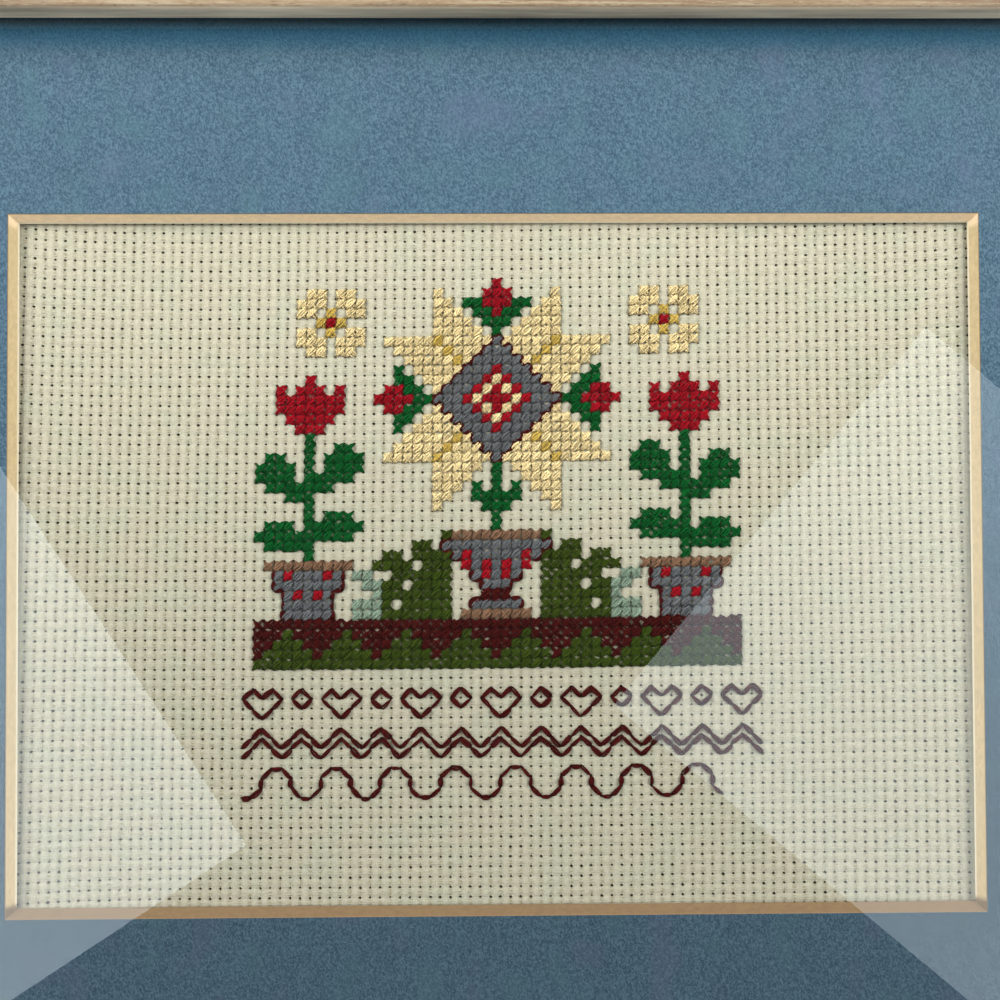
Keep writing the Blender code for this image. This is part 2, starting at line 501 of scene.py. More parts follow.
@dataclass(frozen=True)
class BlockWeave:
    """Cream cotton cloth of square blocks of four threads each way, with a hole at every corner."""

    cream: Colour = chip(226, 221, 199)
    greenish: Colour = chip(221, 221, 199)
    rosy: Colour = chip(228, 219, 198)
    # painted shade for the grooves between the blocks
    smudge: Colour = chip(158, 147, 117)
    # painted shade: colour of the shadowed holes between the blocks
    hole: Colour = chip(40, 35, 14)
    # painted highlight beside the holes
    glint: Colour = chip(240, 236, 218)
    threads: float = 4.0
    hole_size: float = 0.10
    hole_spread: float = 0.05
    window_high: float = -0.0472
    # painted shade: the cloth darkens towards the bottom, fully below this height
    browned_up_to: float = -0.150
    browning: float = 0.17

    def material(self) -> bpy.types.Material:
        """Material of the cloth, which reads the squares from its UV map "weave".

        Returns:
            The material.
        """
        s = Surface("stitched_cloth", 0.92, Specular_IOR_Level=0.15)
        x, y, z = s.place()
        a, b, _ = s.parts(s.value("ShaderNodeUVMap", {"uv_map": "weave"}))
        column = (a + 0.5).floor()
        row = (b + 0.5).floor()
        first, second, third = s.chance(s.vector(column, row, 0.0))
        off_a = a - column + (second - 0.5) * 0.08
        off_b = b - row + (third - 0.5) * 0.07
        size = first * self.hole_spread + self.hole_size
        hole = 1 - (off_a ** 2.0 + (off_b * 1.2) ** 2.0).root().ramp(size * 0.6, size * 1.6)
        rim = 1 - ((off_a - 0.13) ** 2.0 + (off_b - 0.14) ** 2.0).root().ramp(0.03, 0.11)

        warp = (a * (math.pi * self.threads)).sine().size()
        weft = (b * (math.pi * self.threads)).sine().size()
        blotch = s.noise(s.vector(a * 1.9, b * 2.1, 0.0), 1.0, 0.6)
        lint = s.noise(s.vector(a * 7.0, b * 7.0, 3.0), 1.0, 0.6)
        front = blotch.ramp(0.40, 0.60)
        ribs = front * warp + (1 - front) * weft

        from_column = (a - column).size()
        from_row = (b - row).size()
        curls = s.noise(s.vector(a * 1.3 + 9.0, b * 6.0, 6.0), 1.0, 0.6)
        between_rows = from_row.ramp(0.12, 0.24)
        upright = (1 - from_column.ramp(0.06, 0.28)) * between_rows * curls.ramp(0.42, 0.58)
        crest = from_column.ramp(0.15, 0.45)
        level = (1 - from_row.ramp(0.02, 0.18)) * (1 - curls).ramp(0.52, 0.70)

        tint = s.noise(s.vector(x * 140, y * 140, z * 140), 1.0, 0.6)
        colour = s.blend(tint.ramp(0.46, 0.70) * 0.7, self.cream, self.greenish)
        colour = s.blend((1 - tint.ramp(0.30, 0.52)) * 0.5, colour, self.rosy)
        # painted shade: darker towards the bottom, as if less light reached it
        clean = z.ramp(self.browned_up_to, self.window_high)
        aged = 1 - self.browning + self.browning * clean
        # the crest term is a painted highlight on the raised middles of the blocks
        bright = 0.46 + 0.31 * blotch + 0.32 * lint + 0.04 * ribs + 0.06 * crest
        colour = s.shade(colour, bright * aged)
        # painted shade in the grooves: dark marks down the columns and along the rows between the holes
        colour = s.blend(upright * 0.62, colour, self.smudge)
        colour = s.blend(level * 0.28, colour, self.smudge)
        # painted highlight up and to the right of some holes
        colour = s.blend(rim * 0.8 * first, colour, self.glint)
        # painted shade: each pit is coloured as dark as a shadowed opening
        s.colour(s.blend(hole, colour, self.hole))
        s.relief(ribs * 0.5 + lint * 0.5 - upright * 0.5, 0.09 * MM, 0.7)
        return s.material


class Floss(Enum):
    """Colours of stranded cotton, each with its mark in a chart."""

    STRAW = "s"
    GOLD = "y"
    GREY = "g"
    RED = "r"
    KELLY = "k"
    OLIVE = "o"
    MAROON = "m"
    TAUPE = "t"
    SAGE = "e"


FLOSS_CHIPS: dict[Floss, Colour] = {
    Floss.STRAW: chip(233, 211, 160),
    Floss.GOLD: chip(198, 168, 84),
    Floss.GREY: chip(100, 103, 107),
    Floss.RED: chip(152, 8, 26),
    Floss.KELLY: chip(0, 84, 32),
    Floss.OLIVE: chip(54, 70, 12),
    Floss.MAROON: chip(66, 8, 5),
    Floss.TAUPE: chip(130, 98, 76),
    Floss.SAGE: chip(134, 154, 136),
}


@dataclass(frozen=True)
class StrandedCotton:
    """Soft glossy cotton of two twisted plies, in one floss colour."""

    floss: Floss
    twist_length: float = 0.9 * MM
    hole_shade: float = 0.55

    def material(self) -> bpy.types.Material:
        """Material of the strands, which reads their place along and round from the attribute "ply".

        Returns:
            The material.
        """
        base = FLOSS_CHIPS[self.floss]
        s = Surface(f"floss_{self.floss.name.lower()}", 0.6, Specular_IOR_Level=0.09)
        x, y, z = s.place()
        ply = s.value("ShaderNodeAttribute", {"attribute_name": "ply"}, None, "Vector")
        across, up, along = s.parts(ply)
        shade = s.value("ShaderNodeAttribute", {"attribute_name": "shade"}, None, "Fac")
        # painted shade in the creases between the twisted plies, darkest where two plies meet
        angle = s.math("ARCTAN2", up, across)
        turned = angle + along * (math.tau / self.twist_length)
        plies = turned.sine().size()
        lint = s.noise(s.vector((x + z) * 2200, y * 5200, (x - z) * 5200), 1.0, 0.6)
        fuzz = lint.ramp(0.32, 0.68)
        # painted shade: strands darken on the sides that turn away from the front, and at their ends where
        # they sink into the holes
        _, inwards, _ = s.parts(s.value("ShaderNodeTexCoord", None, None, "Normal"))
        open_side = (inwards * -1).ramp(0.15, 0.98) * 0.6 + 0.4
        in_hole = (along * (2 / LEG_LENGTH) - 1).size().ramp(0.55, 1.0) * self.hole_shade
        bright = 0.30 + 0.44 * shade + 0.50 * plies + 0.72 * fuzz
        s.colour(s.shade(base, bright * open_side * (1 - in_hole)))
        s.roughness(0.5 + 0.3 * fuzz)
        return s.material


def finished(piece: bpy.types.Object) -> bpy.types.Object:
    """Hand a new piece to the frame.

    Args:
        piece: the piece, in its place.

    Returns:
        The same piece, riding on the picture's one body.
    """
    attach(piece, BODY)
    LOG.info("%s: %d faces", piece.name, len(piece.data.polygons))
    return piece


def dress(node: str, material: bpy.types.Material) -> None:
    """Give a CAD node its detailed material in place of the plain one.

    Args:
        node: the node's name.
        material: its finish.
    """
    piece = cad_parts[node]
    piece.data.materials.clear()
    piece.data.materials.append(material)
    LOG.info("%s: keeps its solid, finished as %s", node, material.name)


def mesh_object(
    name: str, points: list[Point], faces: list[tuple[int, ...]], material: bpy.types.Material | None
) -> bpy.types.Object:
    """New mesh object at the origin.

    Args:
        name: the object's name.
        points: its points, in metres.
        faces: its faces, as numbers of points.
        material: its material, if it has one yet.

    Returns:
        The object, linked to the scene.
    """
    mesh = bpy.data.meshes.new(name)
    mesh.from_pydata(points, [], faces)
    if material is not None:
        mesh.materials.append(material)
    made = bpy.data.objects.new(name, mesh)
    bpy.context.scene.collection.objects.link(made)
    return made


@dataclass
class FrameRails:
    """The four mitred rails, whose solids have the real profile."""

    wood: PickledWood = field(default_factory=PickledWood)

    def build(self) -> None:
        """Dress the level rails and the upright ones, each with the grain along its own length."""
        sights_z = (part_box("rail_top")[0].z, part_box("rail_bottom")[1].z)
        sights_x = (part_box("rail_left")[1].x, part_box("rail_right")[0].x)
        level = self.wood.material(Grain.ALONG_X, sights_z)
        upright = self.wood.material(Grain.ALONG_Z, sights_x)
        for node in ("rail_top", "rail_bottom"):
            dress(node, level)
        for node in ("rail_left", "rail_right"):
            dress(node, upright)


@dataclass
class Panels:
    """The flat panels that keep their solids: glass, mat and backing board."""

    glass: PictureGlass = field(default_factory=PictureGlass)
    board: FibreBoard = field(default_factory=FibreBoard)
    window_height: float = 5 * INCH

    def build(self) -> None:
        """Dress the three panels, and let light through the glass."""
        low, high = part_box("mat_board")
        middle = (low.z + high.z) / 2
        half = self.window_height / 2
        dress("mat_board", MottledMat(low.y, high.y - low.y, middle - half, middle + half).material())
        dress("backing_board", self.board.material())
        dress("glass_pane", self.glass.material())
        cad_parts["glass_pane"].visible_shadow = False


@dataclass(frozen=True)
class Wave:
    """A slow wave left in the stretched cloth, in waves across its width and height."""

    across_width: float
    across_height: float
    share: float
    phase: float


@dataclass
class StitchedCloth:
    """Block-weave cloth behind the mat's window, with a sunken pit, coloured dark as painted shade, at each
    corner of its squares.
    """

    window_width: float = 7 * INCH
    window_height: float = 5 * INCH
    play: float = 0.6 * MM
    pillow: float = 0.4 * MM
    top_to_bottom_share: float = 0.28
    waves: tuple[Wave, ...] = (
        Wave(across_width=1.6, across_height=0.4, share=0.09, phase=0.10),
        Wave(across_width=0.7, across_height=2.1, share=0.07, phase=0.35),
        Wave(across_width=3.1, across_height=1.3, share=0.05, phase=0.60),
    )
    squares_high: float = 69.4
    edge_column: int = 46
    edge_row: int = 34
    columns: int = 50
    rows: int = 36
    rim: float = 0.17
    hole_depth: float = 0.5 * MM
    groove_depth: float = 0.02 * MM
    sheet: float = 1.0 * MM
    coarse_columns: int = 36
    coarse_rows: int = 28
    seed: int = 11

    def __post_init__(self) -> None:
        """Read the cloth's box, and work out its middle and its front."""
        self.low, self.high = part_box("stitched_cloth")
        mat_low, mat_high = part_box("mat_board")
        self.width = self.high.x - self.low.x
        self.height = self.high.z - self.low.z
        self.middle_z = (mat_low.z + mat_high.z) / 2
        self.slack_y = mat_high.y + GAP + self.play
        self.chance = random.Random(self.seed)

    def hole(self, a: float, b: float) -> Place:
        """Where a point of the weave lies.

        The weave is stretched a little unevenly: it leans, its squares are narrower in the middle than
        near the mat, and its rows bend outwards at the corners.

        Args:
            a: squares to the right of the middle.
            b: squares above the middle.

        Returns:
            X and Z in metres from the window's middle.
        """
        x = 0.82 + 1.856 * a + 0.012 * b - 0.0007 * a * b + 0.0005 * a * a
        z = 0.48 + 0.0125 * a + 1.834 * b + 0.0002 * a * b + 0.0002 * a * a - 0.0005 * b * b
        x += 0.5 * (a / self.edge_column) ** 7
        z += 0.65 * (b / self.edge_row) * (a / self.edge_column) ** 8
        return x * MM, z * MM

    def front(self, x: float, z: float) -> float:
        """Y of the cloth's front.

        Args:
            x, z: the point, measured from the window's middle.

        Returns:
            Y in metres, with the slope, waves and pillow of the stretched cloth.
        """
        across = x / self.width
        up = z / self.height
        share = 0.5 + 2 * self.top_to_bottom_share * up
        for wave in self.waves:
            turns = wave.across_width * across + wave.across_height * up + wave.phase
            share += wave.share * math.sin(math.tau * turns)
        inside_width = max(0.0, 1 - (2 * x / self.window_width) ** 2)
        inside_height = max(0.0, 1 - (2 * z / self.window_height) ** 2)
        pillow = self.pillow * (inside_width * inside_height) ** 2
        return self.slack_y - self.play * share - pillow

    def point(self, a: float, b: float, depth: float = 0.0) -> Point:
        """Place of a point of the weave, sunk below the cloth's front by a depth."""
        x, z = self.hole(a, b)
        return (x, self.front(x, z) + depth, self.middle_z + z)

    def _lines(self, squares: int) -> list[float]:
        """Places of the grid's lines, at each hole and at both rims of it.

        Args:
            squares: how many squares of the weave lie on each side of the middle.

        Returns:
            The places in squares, from low to high.
        """
        lines = []
        for square in range(-squares, squares):
            lines += [float(square), square + self.rim, square + 1 - self.rim]
        return lines + [float(squares)]

    def _vertex(self, a: float, b: float) -> tuple[float, float, float]:
        """Weave place and depth of one point of the grid, a little uneven by chance.

        Args:
            a, b: the even place, in squares.

        Returns:
            The uneven place in squares, and the depth below the front in metres.
        """
        at_column = a == round(a)
        at_row = b == round(b)
        uneven = self.chance.uniform(-0.02, 0.02)
        if at_column and at_row:
            return (a, b, self.hole_depth * self.chance.uniform(0.8, 1.1))
        if at_column:
            return (a, b + uneven, self.groove_depth * self.chance.uniform(0.7, 1.7))
        if at_row:
            return (a + uneven, b, self.groove_depth * self.chance.uniform(0.2, 1.0))
        return (a + uneven, b - uneven, self.groove_depth * self.chance.uniform(-0.25, 0.2))

    def _side(self, start: int, step: int, count: int) -> list[int]:
        """Numbers of the points along one side of a grid."""
        return [start + step * i for i in range(count)]

    def _rim_sides(self, start: int, across: int, up: int) -> list[list[int]]:
        """The four sides of a grid's rim in order, each with both its corners.

        Args:
            start: number of the grid's first point.
            across: how many points it has in a row.
            up: how many rows.

        Returns:
            Bottom, right, top and left side.
        """
        last = start + across * up - 1
        return [
            self._side(start, 1, across),
            self._side(start + across - 1, across, up),
            self._side(last, -1, across),
            self._side(last - across + 1, -across, up),
        ]

    @staticmethod
    def _zip(inner: list[int], outer: list[int]) -> list[tuple[int, int, int]]:
        """Triangles between two sides with different numbers of points.

        Args:
            inner, outer: numbers of the points along each side, both in the same direction.

        Returns:
            The triangles, as numbers of points.
        """
        faces = []
        i = j = 0
        while i < len(inner) - 1 or j < len(outer) - 1:
            inner_next = (i + 1) / (len(inner) - 1)
            outer_next = (j + 1) / (len(outer) - 1)
            if j == len(outer) - 1 or (i < len(inner) - 1 and inner_next <= outer_next):
                faces.append((inner[i], outer[j], inner[i + 1]))
                i += 1
            else:
                faces.append((inner[i], outer[j], outer[j + 1]))
                j += 1
        return faces

    def build(self, weave: BlockWeave) -> bpy.types.Object:
        """Make the cloth: a fine front where the window shows it, and a coarse margin, rim and back.

        Args:
            weave: its finish.

        Returns:
            The cloth's object.
        """
        points: list[Point] = []
        marks: list[Place] = []
        faces: list[tuple[int, ...]] = []
        lines_a = self._lines(self.columns)
        lines_b = self._lines(self.rows)
        for b in lines_b:
            for a in lines_a:
                at_a, at_b, depth = self._vertex(a, b)
                points.append(self.point(at_a, at_b, depth))
                marks.append((at_a, at_b))
        count = len(lines_a)
        faces += self._grid_faces(0, count, len(lines_b), False)
        fine_rim = self._rim_sides(0, count, len(lines_b))

        back = self._coarse_grid(points, marks)
        faces += self._grid_faces(back, self.coarse_columns + 1, self.coarse_rows + 1, True)
        back_rim = self._rim_sides(back, self.coarse_columns + 1, self.coarse_rows + 1)
        front_of: dict[int, int] = {}
        for side in back_rim:
            for number in side:
                if number not in front_of:
                    x, y, z = points[number]
                    front_of[number] = len(points)
                    points.append((x, y - self.sheet, z))
                    marks.append(marks[number])
        for inner, outer in zip(fine_rim, back_rim):
            faces += self._zip(inner, [front_of[number] for number in outer])
            for here, there in zip(outer, outer[1:]):
                faces.append((front_of[here], here, there, front_of[there]))
        cloth = mesh_object("cloth", points, faces, weave.material())
        layer = cloth.data.uv_layers.new(name="weave")
        for loop in cloth.data.loops:
            layer.data[loop.index].uv = marks[loop.vertex_index]
        cloth.data.shade_smooth()
        return cloth

    @staticmethod
    def _grid_faces(start: int, across: int, up: int, turned: bool) -> list[tuple[int, ...]]:
        """Quads of a grid.

        Args:
            start: number of the grid's first point.
            across: how many points it has in a row.
            up: how many rows.
            turned: whether the faces look to the back.

        Returns:
            The quads, as numbers of points.
        """
        faces = []
        for row in range(up - 1):
            for column in range(across - 1):
                first = start + row * across + column
                face = (first, first + 1, first + across + 1, first + across)
                faces.append(face[::-1] if turned else face)
        return faces

    def _coarse_grid(self, points: list[Point], marks: list[Place]) -> int:
        """Add the back's points.

        Args:
            points: the cloth's points so far, which gain the back's.
            marks: the weave place of each point, likewise.

        Returns:
            Number of the back's first point.
        """
        start = len(points)
        pitch = self.window_height / self.squares_high
        for row in range(self.coarse_rows + 1):
            z = self.height * (row / self.coarse_rows - 0.5)
            for column in range(self.coarse_columns + 1):
                x = self.width * (column / self.coarse_columns - 0.5)
                points.append((x, self.front(x, z) + self.sheet, self.middle_z + z))
                marks.append((x / pitch, z / pitch))
        return start


@dataclass(frozen=True)
class Line:
    """One backstitch from hole to hole, in squares of the weave."""

    start: Place
    end: Place


@dataclass
class SamplerChart:
    """Chart of a generic sampler: a star over an urn, potted tulips, blossoms, sprays and borders.

    Squares are counted from the middle column and from the top row down. A small chart has one mark
    a square, for its floss, or a dot where the cloth stays bare.
    """

    middle_column: int = -1
    top_row: int = 27
    star_row: int = 11
    half_width: int = 24
    border_left: int = -26
    squares: dict[Square, Floss] = field(default_factory=dict)
    lines: list[Line] = field(default_factory=list)

    TULIP_POT = (
        ".....r.....",
        "..r.rrr.r..",
        "..rrrrrrr..",
        "..rrrrrrr..",
        "...rrrrr...",
        "....rrr....",
        ".....k.....",
        ".....k..kk.",
        ".kk..k.kkkk",
        "kkkk.k.kkkk",
        "kkkk.kkkkk.",
        ".kkkkkkk...",
        "...kkk.....",
        ".....k.....",
        ".....k.kkk.",
        ".kkk.kkkkkk",
        "kkkkkkkkkk.",
        ".kkkkk.....",
        ".....k.....",
        ".ttttttttt.",
        "..grgggrg..",
        "..ggggggg..",
        "...grgrg...",
        "...ggggg...",
        "...ggggg...",
    )
    BLOSSOM = (
        ".ss.ss.",
        "sss.sss",
        "ss.y.ss",
        "..yry..",
        "ss.y.ss",
        "sss.sss",
        ".ss.ss.",
    )
    URN_HALF = (
        "......ttttt",
        ".....gggggg",
        "......grggg",
        ".......rgrg",
        "........grg",
        ".........gg",
        ".........mm",
        "........ggg",
        ".......tttt",
    )
    SPRAY = (
        ".........o",
        "......oo.o",
        "...oo.oooo",
        "..oooo.ooo",
        "ee..oooooo",
        ".eeoo.oooo",
        "..eooooooo",
        "eeeo.ooooo",
        "eeeooooooo",
    )
    BUD = (
        "...k...",
        "..kkk..",
        ".kkrkk.",
        "kkrrrkk",
        "..rrr..",
        "...r...",
    )
    HEART_RINGS = "rrsrggg"
    CORNERS = ((-1, -1), (1, -1), (-1, 1), (1, 1))
    SIDES = ((0, -1), (1, 0), (-1, 0), (0, 1))
    BAND = (
        "mmmmmm",
        "mmmmmo",
        "ommmoo",
        "oomooo",
        "oooooo",
    )

    def draw(self) -> None:
        """Fill the chart: motifs first, then the outlines and the borders below."""
        self._star(self.star_row, len(self.HEART_RINGS) - 1)
        self._star_heart(self.star_row)
        self._pair(self.BLOSSOM, -20, 0)
        self._pair(self.TULIP_POT, -self.half_width, 9)
        self._pair(self.URN_HALF, -10, 25)
        self._pair(self.SPRAY, -14, 25)
        self._band(34)
        self._outline(Floss.GREY)
        self._borders()

    def _put(self, column: int, row: int, floss: Floss) -> None:
        """Mark one square, counted from the middle and from the top."""
        self.squares[(self.middle_column + column, self.top_row - row)] = floss

    def _pair(self, rows: tuple[str, ...], left: int, top: int) -> None:
        """Copy a small chart to the left, and its mirror image to the right.

        Args:
            rows: the small chart.
            left, top: where the left copy's first square goes.
        """
        self._motif(rows, left, top)
        self._motif(tuple(row[::-1] for row in rows), 1 - left - len(rows[0]), top)

    def _motif(self, rows: tuple[str, ...], left: int, top: int) -> None:
        """Copy a small chart, leaving squares that are already marked.

        Args:
            rows: the small chart.
            left, top: where its first square goes.
        """
        for down, row in enumerate(rows):
            for across, mark in enumerate(row):
                place = (self.middle_column + left + across, self.top_row - top - down)
                if mark != "." and place not in self.squares:
                    self.squares[place] = Floss(mark)

    def _star(self, row: int, size: int) -> None:
        """Traditional eight-pointed star of eight diamonds.

        Args:
            row: the row of its middle.
            size: squares along a diamond's side.
        """
        for out in range(1, size + 1):
            for more in range(1, size):
                for sign_x, sign_y in self.CORNERS:
                    self._put(sign_x * out, row + sign_y * (out + more), Floss.STRAW)
                    self._put(sign_x * (out + more), row + sign_y * out, Floss.STRAW)

    def _star_heart(self, row: int) -> None:
        """Nested diamonds in the star's middle, lines between its points, three buds and a stem.

        Args:
            row: the row of the star's middle.
        """
        size = len(self.HEART_RINGS) - 1
        for out in range(1, size + 1):
            for step_x, step_y in self.CORNERS + self.SIDES:
                self._put(step_x * out, row + step_y * out, Floss.GOLD)
        for across in range(-size, size + 1):
            for down in range(-size, size + 1):
                ring = abs(across) + abs(down)
                if ring <= size:
                    self._put(across, row + down, Floss(self.HEART_RINGS[ring]))
        for step_x, step_y in self.SIDES[:3]:
            for out, line in enumerate(self.BUD, size + 1):
                for off, mark in enumerate(line, -3):
                    across = step_x * out + step_y * off
                    down = step_y * out + step_x * off
                    if mark != ".":
                        self._put(across, row + down, Floss(mark))
        for out in range(size + 1, 2 * size + 2):
            self._put(0, row + out, Floss.KELLY)
        for side in (-1, 1):
            for off in (1, 2):
                for down in (11 - off, 12 - off):
                    self._put(side * off, row + down, Floss.KELLY)

    def _band(self, top: int) -> None:
        """Dog-tooth band along the foot of the chart.

        Args:
            top: its first row.
        """
        period = len(self.BAND[0])
        for down, row in enumerate(self.BAND):
            for column in range(-self.half_width, self.half_width + 1):
                self._put(column, top + down, Floss(row[(column + 2) % period]))

    def _outline(self, floss: Floss) -> None:
        """Backstitch round the squares of one colour, but not towards red or taupe ones.

        Args:
            floss: the colour to outline.
        """
        inside = (floss, Floss.RED, Floss.TAUPE)
        marked = {place for place, colour in self.squares.items() if colour in inside}
        for column, row in sorted(place for place, colour in self.squares.items() if colour is floss):
            edges = (
                ((column - 1, row), (column, row), (column, row + 1)),
                ((column + 1, row), (column + 1, row), (column + 1, row + 1)),
                ((column, row - 1), (column, row), (column + 1, row)),
                ((column, row + 1), (column, row + 1), (column + 1, row + 1)),
            )
            for beyond, start, end in edges:
                if beyond not in marked:
                    self.lines.append(Line(start, end))

    def _polyline(self, left: float, bottom: float, points: list[Place]) -> None:
        """Backstitches from point to point."""
        for (ax, az), (bx, bz) in zip(points, points[1:]):
            self.lines.append(Line((left + ax, bottom + az), (left + bx, bottom + bz)))

    def _borders(self) -> None:
        """Three borders in backstitch: hearts, double chevrons, and a running scroll."""
        heart = [(2, 0), (1, 1), (0, 2), (1, 3), (2, 2), (3, 3), (4, 2), (3, 1), (2, 0)]
        bead = [(0, 1), (1, 0), (2, 1), (1, 2), (0, 1)]
        chevron = [(0, 0), (1, 1), (2, 2), (3, 1), (4, 0)]
        scroll = [(0, 0), (1, 0), (2, 1), (2, 2), (3, 3), (4, 3), (5, 2), (5, 1), (6, 0)]
        left = self.border_left
        for step in range(7):
            self._polyline(left + 8 * step, -16, heart)
            if step < 6:
                self._polyline(left + 8 * step + 5, -15, bead)
        for step in range(13):
            for bottom in (-20, -19):
                self._polyline(left + 4 * step, bottom, chevron)
        for step in range(8):
            self._polyline(left + 6 * step, -24, scroll)


@dataclass
class SewingTree:
    """Geometry Nodes tree that sews a bundle of strands along each leg of thread.

    Each point of its input is one leg, with the attributes "reach" (its length), "turn" (its angle in
    the cloth) and "lift" (how far it stands proud). The last four fields say how uneven strands are.
    """

    strands: int = 3
    steps: int = 6
    sides: int = 5
    swing: float = 0.09
    depth: float = 0.06 * MM
    shift: float = 0.05 * MM
    width: float = 0.25

    def __post_init__(self) -> None:
        """Start the tree with its inputs and its output."""
        self.graph = Graph(bpy.data.node_groups.new("sewing", "GeometryNodeTree"))
        sockets = self.graph.tree.interface
        sockets.new_socket("Geometry", in_out="INPUT", socket_type="NodeSocketGeometry")
        for name in ("Strand radius", "Bundle half width", "Arch", "Dive", "Unevenness"):
            sockets.new_socket(name, in_out="INPUT", socket_type="NodeSocketFloat")
        sockets.new_socket("Seed", in_out="INPUT", socket_type="NodeSocketInt")
        sockets.new_socket("Floss", in_out="INPUT", socket_type="NodeSocketMaterial")
        sockets.new_socket("Geometry", in_out="OUTPUT", socket_type="NodeSocketGeometry")
        outputs = self.graph.add("NodeGroupInput").outputs
        self.given = {output.name: Value(self.graph, output) for output in outputs}

    def build(self) -> bpy.types.NodeTree:
        """Fill the tree.

        Returns:
            The tree, with named inputs for every size.
        """
        g = self.graph
        shapes = g.add("GeometryNodeGeometryToInstance")
        # the strand that is linked last is number 0
        for bow in (1.0, 0.0):
            g.feed(shapes.inputs[0], self._strand(bow))
        sewn = self._sew(Value(g, shapes.outputs[0]))
        g.feed(g.add("NodeGroupOutput").inputs["Geometry"], sewn)
        return g.tree

    def _strand(self, bow: float) -> Value:
        """One strand a metre long, which dives into the cloth at both ends.

        Args:
            bow: how far it bows to the side, as a share of the bundle's half width.

        Returns:
            The strand's mesh, with its place along and round kept as "ply".
        """
        g = self.graph
        ends = {"Start": (-0.5, 0.0, 0.0), "End": (0.5, 0.0, 0.0)}
        line = g.value("GeometryNodeCurvePrimitiveLine", None, ends)
        curve = g.value("GeometryNodeResampleCurve", None, {"Curve": line, "Count": self.steps})
        along = g.value("GeometryNodeSplineParameter", None, None, "Factor")
        from_middle = along * 2 - 1
        inner = 1 - from_middle ** 6.0
        height = self.given["Arch"] * inner - self.given["Dive"] * (1 - inner)
        side = self.given["Bundle half width"] * ((1 - from_middle ** 2.0) * 0.66 + 0.34) * bow
        offset = g.vector(0.0, height * -1, side)
        curve = g.value("GeometryNodeSetPosition", None, {"Geometry": curve, "Offset": offset})
        radius = 0.55 + 0.45 * (1 - from_middle ** 4.0)
        curve = g.value("GeometryNodeSetCurveRadius", None, {"Curve": curve, "Radius": radius})
        curve, along = self._capture(curve, "along", along)
        ring = {"Resolution": self.sides, "Radius": self.given["Strand radius"]}
        circle = g.value("GeometryNodeCurvePrimitiveCircle", None, ring)
        turn = g.value("GeometryNodeSplineParameter", None, None, "Factor")
        circle, turn = self._capture(circle, "round", turn)
        swept = {"Curve": curve, "Profile Curve": circle, "Fill Caps": True}
        strand = g.value("GeometryNodeCurveToMesh", None, swept)
        angle = turn * math.tau
        ply = g.vector(g.math("COSINE", angle), g.math("SINE", angle), along * LEG_LENGTH)
        strand = self._store(strand, "ply", ply, "FLOAT_VECTOR", "POINT")
        return g.value("GeometryNodeSetShadeSmooth", None, {"Geometry": strand})

    def _capture(self, curve: Value, name: str, value: Value) -> tuple[Value, Value]:
        """Capture a value on a curve before it is swept.

        Args:
            curve: the curve.
            name: the captured value's name.
            value: the value.

        Returns:
            The curve, and the captured value.
        """
        node = self.graph.add("GeometryNodeCaptureAttribute", None, {"Geometry": curve})
        node.capture_items.new("FLOAT", name)
        self.graph.feed(node.inputs[name], value)
        return Value(self.graph, node.outputs["Geometry"]), Value(self.graph, node.outputs[name])

    def _store(self, shape: Value, name: str, value: Value, kind: str, domain: str) -> Value:
        """Keep a value on the geometry under a name.

        Args:
            shape: the geometry.
            name, value: the name and the value.
            kind: its data type.
            domain: what it is kept on.

        Returns:
            The geometry.
        """
        settings = {"data_type": kind, "domain": domain}
        sockets = {"Geometry": shape, "Name": name, "Value": value}
        return self.graph.value("GeometryNodeStoreNamedAttribute", settings, sockets)

    def _read(self, name: str) -> Value:
        """A number kept on the geometry under a name."""
        settings = {"data_type": "FLOAT"}
        return self.graph.value("GeometryNodeInputNamedAttribute", settings, {"Name": name})

    def _random(self, low: float, high: float, extra: int) -> Value:
        """Random value for each strand.

        Args:
            low, high: the range.
            extra: added to the tree's seed, so that each use differs.

        Returns:
            The value.
        """
        sockets = {2: low, 3: high, "Seed": self.given["Seed"] + extra}
        return self.graph.value("FunctionNodeRandomValue", {"data_type": "FLOAT"}, sockets, 1)

    def _uneven(self, reach: float, extra: int) -> Value:
        """Random value up to a reach either way, times the tree's unevenness."""
        return self._random(-reach, reach, extra) * self.given["Unevenness"]

    def _sew(self, shapes: Value) -> Value:
        """Put the strands of each leg in place, each a little uneven, and make them one mesh.

        Args:
            shapes: the strands to pick from.

        Returns:
            The sewn mesh with its material.
        """
        g = self.graph
        sockets = {"Geometry": self.given["Geometry"], "Amount": self.strands}
        copies = g.add("GeometryNodeDuplicateElements", {"domain": "POINT"}, sockets)
        side = Value(g, copies.outputs["Duplicate Index"]) - 1
        flip = g.math("LESS_THAN", side, -0.5) * math.pi
        turn = flip - self._read("turn") + self._uneven(self.swing, 1)
        lift = self._read("lift") + self._uneven(self.depth, 2)
        offset = g.vector(0.0, lift * -1, self._uneven(self.shift, 3))
        sockets = {"Geometry": copies.outputs["Geometry"], "Offset": offset}
        placed = g.value("GeometryNodeSetPosition", None, sockets)
        width = 1 + self._uneven(self.width, 4)
        sockets = {
            "Points": placed,
            "Instance": shapes,
            "Pick Instance": True,
            "Instance Index": side.size(),
            "Rotation": g.vector(0.0, turn, 0.0),
            "Scale": g.vector(self._read("reach"), 1.0, width),
        }
        sewn = g.value("GeometryNodeInstanceOnPoints", None, sockets)
        sewn = self._store(sewn, "shade", self._random(0.0, 1.0, 5), "FLOAT", "INSTANCE")
        sewn = g.value("GeometryNodeRealizeInstances", None, {"Geometry": sewn})
        finish = {"Geometry": sewn, "Material": self.given["Floss"]}
        return g.value("GeometryNodeSetMaterial", None, finish)


@dataclass
class Leg:
    """One leg of thread on the cloth: its middle, length, angle and lift."""

    middle: Point
    reach: float
    turn: float
    lift: float


